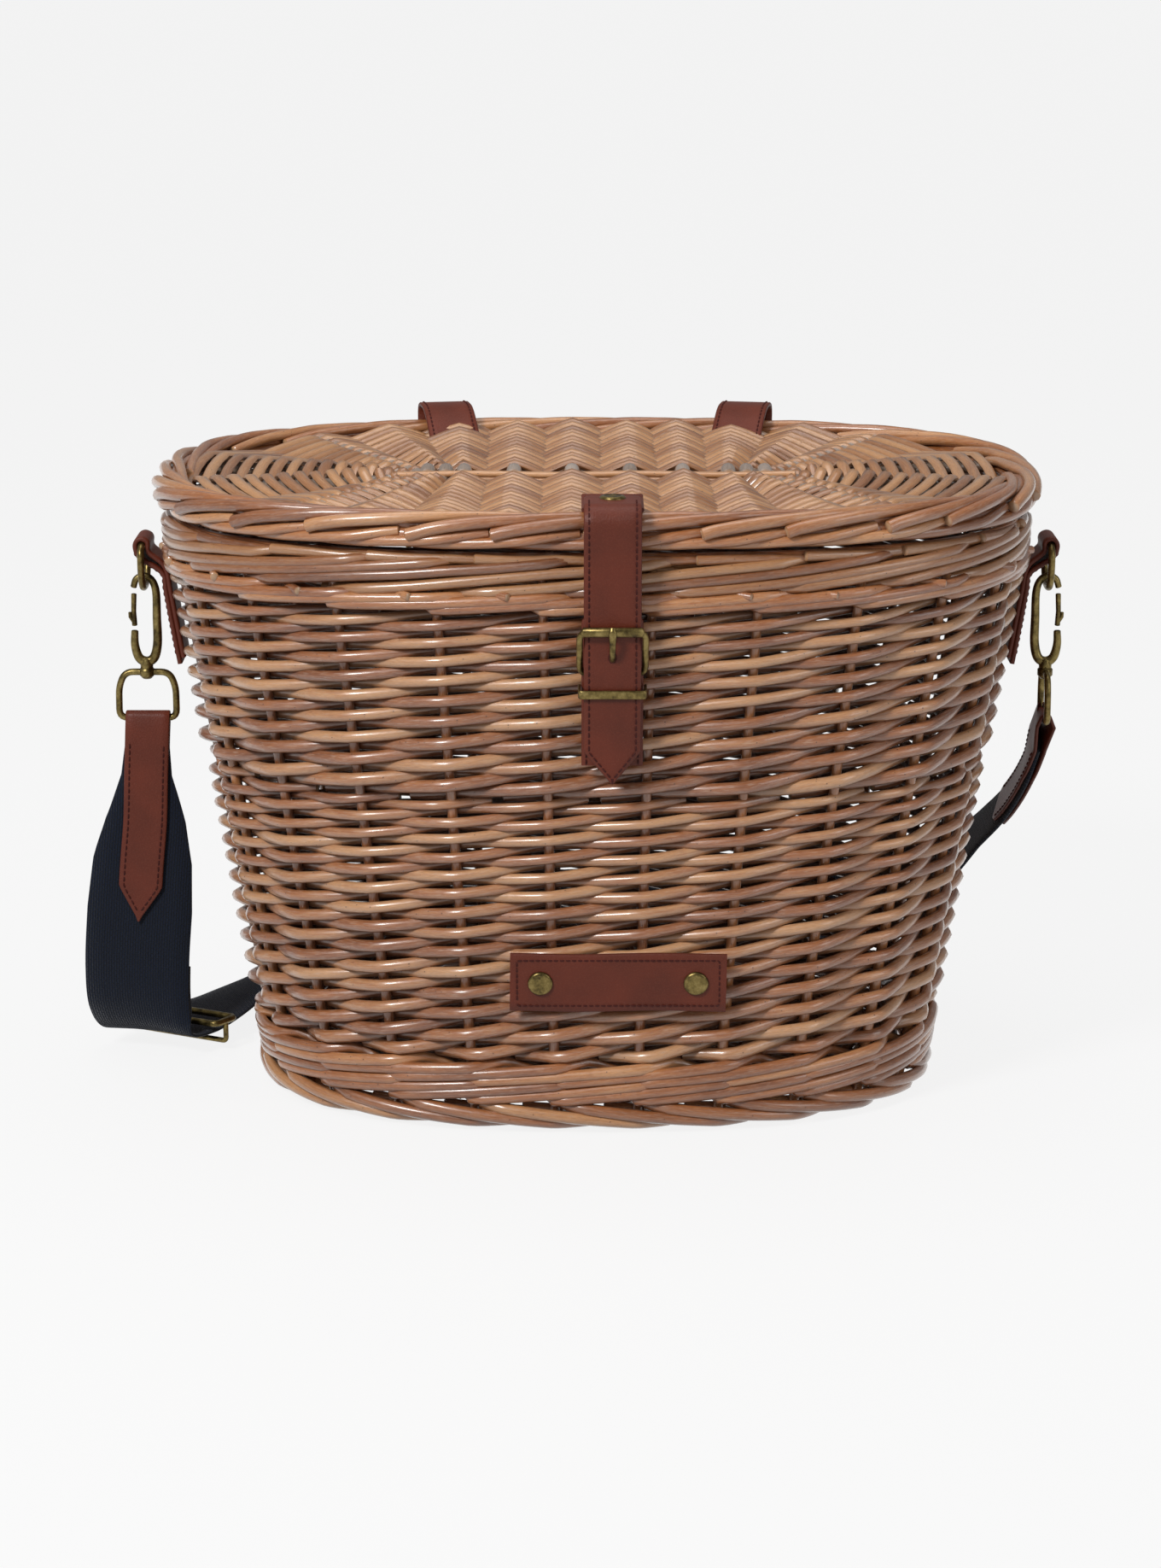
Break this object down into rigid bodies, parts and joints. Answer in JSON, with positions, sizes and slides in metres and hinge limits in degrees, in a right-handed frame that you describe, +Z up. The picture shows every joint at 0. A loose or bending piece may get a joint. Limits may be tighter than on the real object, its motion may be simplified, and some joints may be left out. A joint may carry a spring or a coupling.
{
  "type": "handlebar basket",
  "caption": "Oval wicker basket with a hinged woven lid, a buckled leather closure strap, rear handlebar straps and a webbing shoulder strap on snap hooks.",
  "frame": {"origin": "centre of the foot oval on the surface the basket stands on", "axes": "+Z up, +X to the basket's right seen from the front, +Y to the back"},
  "size_m": [0.4633, 0.3447, 0.2978],
  "materials": {
    "willow": "varnished",
    "willow_sticks": "varnished",
    "split_willow": "varnished",
    "leather": "satin",
    "antique_brass": "aged",
    "webbing": "woven"
  },
  "bodies": {
    "basket": {"foot_border": "willow", "foot_wale": "willow", "side_weave": "willow", "rim_wale": "willow", "rim_border": "willow", "side_stakes": "willow_sticks", "base_weave": "split_willow", "base_sticks": "willow_sticks", "closure_chape": "leather", "pivot_loops": "leather", "strap_keeper": "antique_brass", "chape_rivets": "antique_brass", "label_patch": "leather", "label_rivets": "antique_brass", "ring_tab_left": "leather", "ring_tab_right": "leather", "handlebar_strap_left": "leather", "handlebar_strap_right": "leather", "rear_pivot_loops_left": "leather", "rear_pivot_loops_right": "leather", "shoulder_webbing": "webbing"},
    "lid": {"lid_border": "willow", "lid_weave": "split_willow", "lid_sticks": "willow_sticks", "closure_patch": "leather", "closure_strap_end": "leather", "closure_rivet": "antique_brass", "hinge_strap_left": "leather", "hinge_strap_right": "leather"},
    "closure_strap": {"closure_strap": "leather"},
    "buckle_frame": {"buckle_frame": "antique_brass"},
    "buckle_prong": {"buckle_prong": "antique_brass"},
    "tri_glide": {"tri_glide": "antique_brass"},
    "ring_left": {"ring_left": "antique_brass", "strap_loop_left": "antique_brass", "strap_end_left": "leather"},
    "hook_left": {"hook_left": "antique_brass"},
    "gate_left": {"hook_gate_left": "antique_brass"},
    "rear_buckle_left": {"rear_buckle_left": "antique_brass"},
    "rear_prong_left": {"rear_prong_left": "antique_brass"},
    "ring_right": {"ring_right": "antique_brass", "strap_loop_right": "antique_brass", "strap_end_right": "leather"},
    "hook_right": {"hook_right": "antique_brass"},
    "gate_right": {"hook_gate_right": "antique_brass"},
    "rear_buckle_right": {"rear_buckle_right": "antique_brass"},
    "rear_prong_right": {"rear_prong_right": "antique_brass"}
  },
  "joints": [
    {"name": "lid_hinge", "type": "hinge", "parent": "basket", "child": "lid", "pos_m": [0, 0.1545, 0.2725], "axis": [-1, 0, 0], "range_deg": [0, 105]},
    {"name": "closure_strap_swing", "type": "hinge", "parent": "lid", "child": "closure_strap", "pos_m": [0.0065, -0.16041, 0.28283], "axis": [-1, 0, 0], "range_deg": [0, 80], "deforming": ["closure_strap"]},
    {"name": "buckle_frame_pivot", "type": "hinge", "parent": "basket", "child": "buckle_frame", "pos_m": [0.0065, -0.14821, 0.22034], "axis": [1, 0, 0], "range_deg": [0, 80]},
    {"name": "buckle_prong_pivot", "type": "hinge", "parent": "buckle_frame", "child": "buckle_prong", "pos_m": [0.0065, -0.14821, 0.22034], "axis": [1, 0, 0], "range_deg": [0, 10]},
    {"name": "ring_left_swing", "type": "hinge", "parent": "basket", "child": "ring_left", "pos_m": [-0.2115, 0, 0.252], "axis": [0, 1, 0], "range_deg": [0, 12], "deforming": ["shoulder_webbing"]},
    {"name": "hook_left_swivel", "type": "hinge", "parent": "ring_left", "child": "hook_left", "pos_m": [-0.2115, 0, 0.19], "axis": [0, 0, 1], "range_deg": [-20, 20]},
    {"name": "gate_left_press", "type": "hinge", "parent": "hook_left", "child": "gate_left", "pos_m": [-0.2063, 0, 0.2114], "axis": [0, -1, 0], "range_deg": [0, 18], "stiffness_Nm_per_rad": 0.02},
    {"name": "ring_right_swing", "type": "hinge", "parent": "basket", "child": "ring_right", "pos_m": [0.2115, 0, 0.252], "axis": [0, -1, 0], "range_deg": [0, 12], "deforming": ["shoulder_webbing"]},
    {"name": "hook_right_swivel", "type": "hinge", "parent": "ring_right", "child": "hook_right", "pos_m": [0.2115, 0, 0.19], "axis": [0, 0, 1], "range_deg": [-20, 20]},
    {"name": "gate_right_press", "type": "hinge", "parent": "hook_right", "child": "gate_right", "pos_m": [0.2167, 0, 0.2114], "axis": [0, -1, 0], "range_deg": [0, 18], "stiffness_Nm_per_rad": 0.02},
    {"name": "tri_glide_slide", "type": "slide", "parent": "basket", "child": "tri_glide", "axis": [0.5332, 0.8458, -0.0184], "range_m": [-0.008, 0.008], "deforming": ["shoulder_webbing"]},
    {"name": "rear_buckle_left_pivot", "type": "hinge", "parent": "basket", "child": "rear_buckle_left", "pos_m": [-0.08157, 0.17644, 0.226], "axis": [0.9816, 0.1908, 0], "range_deg": [0, 90]},
    {"name": "rear_prong_left_pivot", "type": "hinge", "parent": "rear_buckle_left", "child": "rear_prong_left", "pos_m": [-0.08157, 0.17644, 0.226], "axis": [0.9816, 0.1908, 0], "range_deg": [0, 20]},
    {"name": "rear_buckle_right_pivot", "type": "hinge", "parent": "basket", "child": "rear_buckle_right", "pos_m": [0.08157, 0.17644, 0.226], "axis": [0.9816, -0.1908, 0], "range_deg": [0, 90]},
    {"name": "rear_prong_right_pivot", "type": "hinge", "parent": "rear_buckle_right", "child": "rear_prong_right", "pos_m": [0.08157, 0.17644, 0.226], "axis": [0.9816, -0.1908, 0], "range_deg": [0, 20]}
  ],
  "couplings": [
    {"joint": "buckle_frame_pivot", "follows": "closure_strap_swing", "ratio": 1}
  ]
}
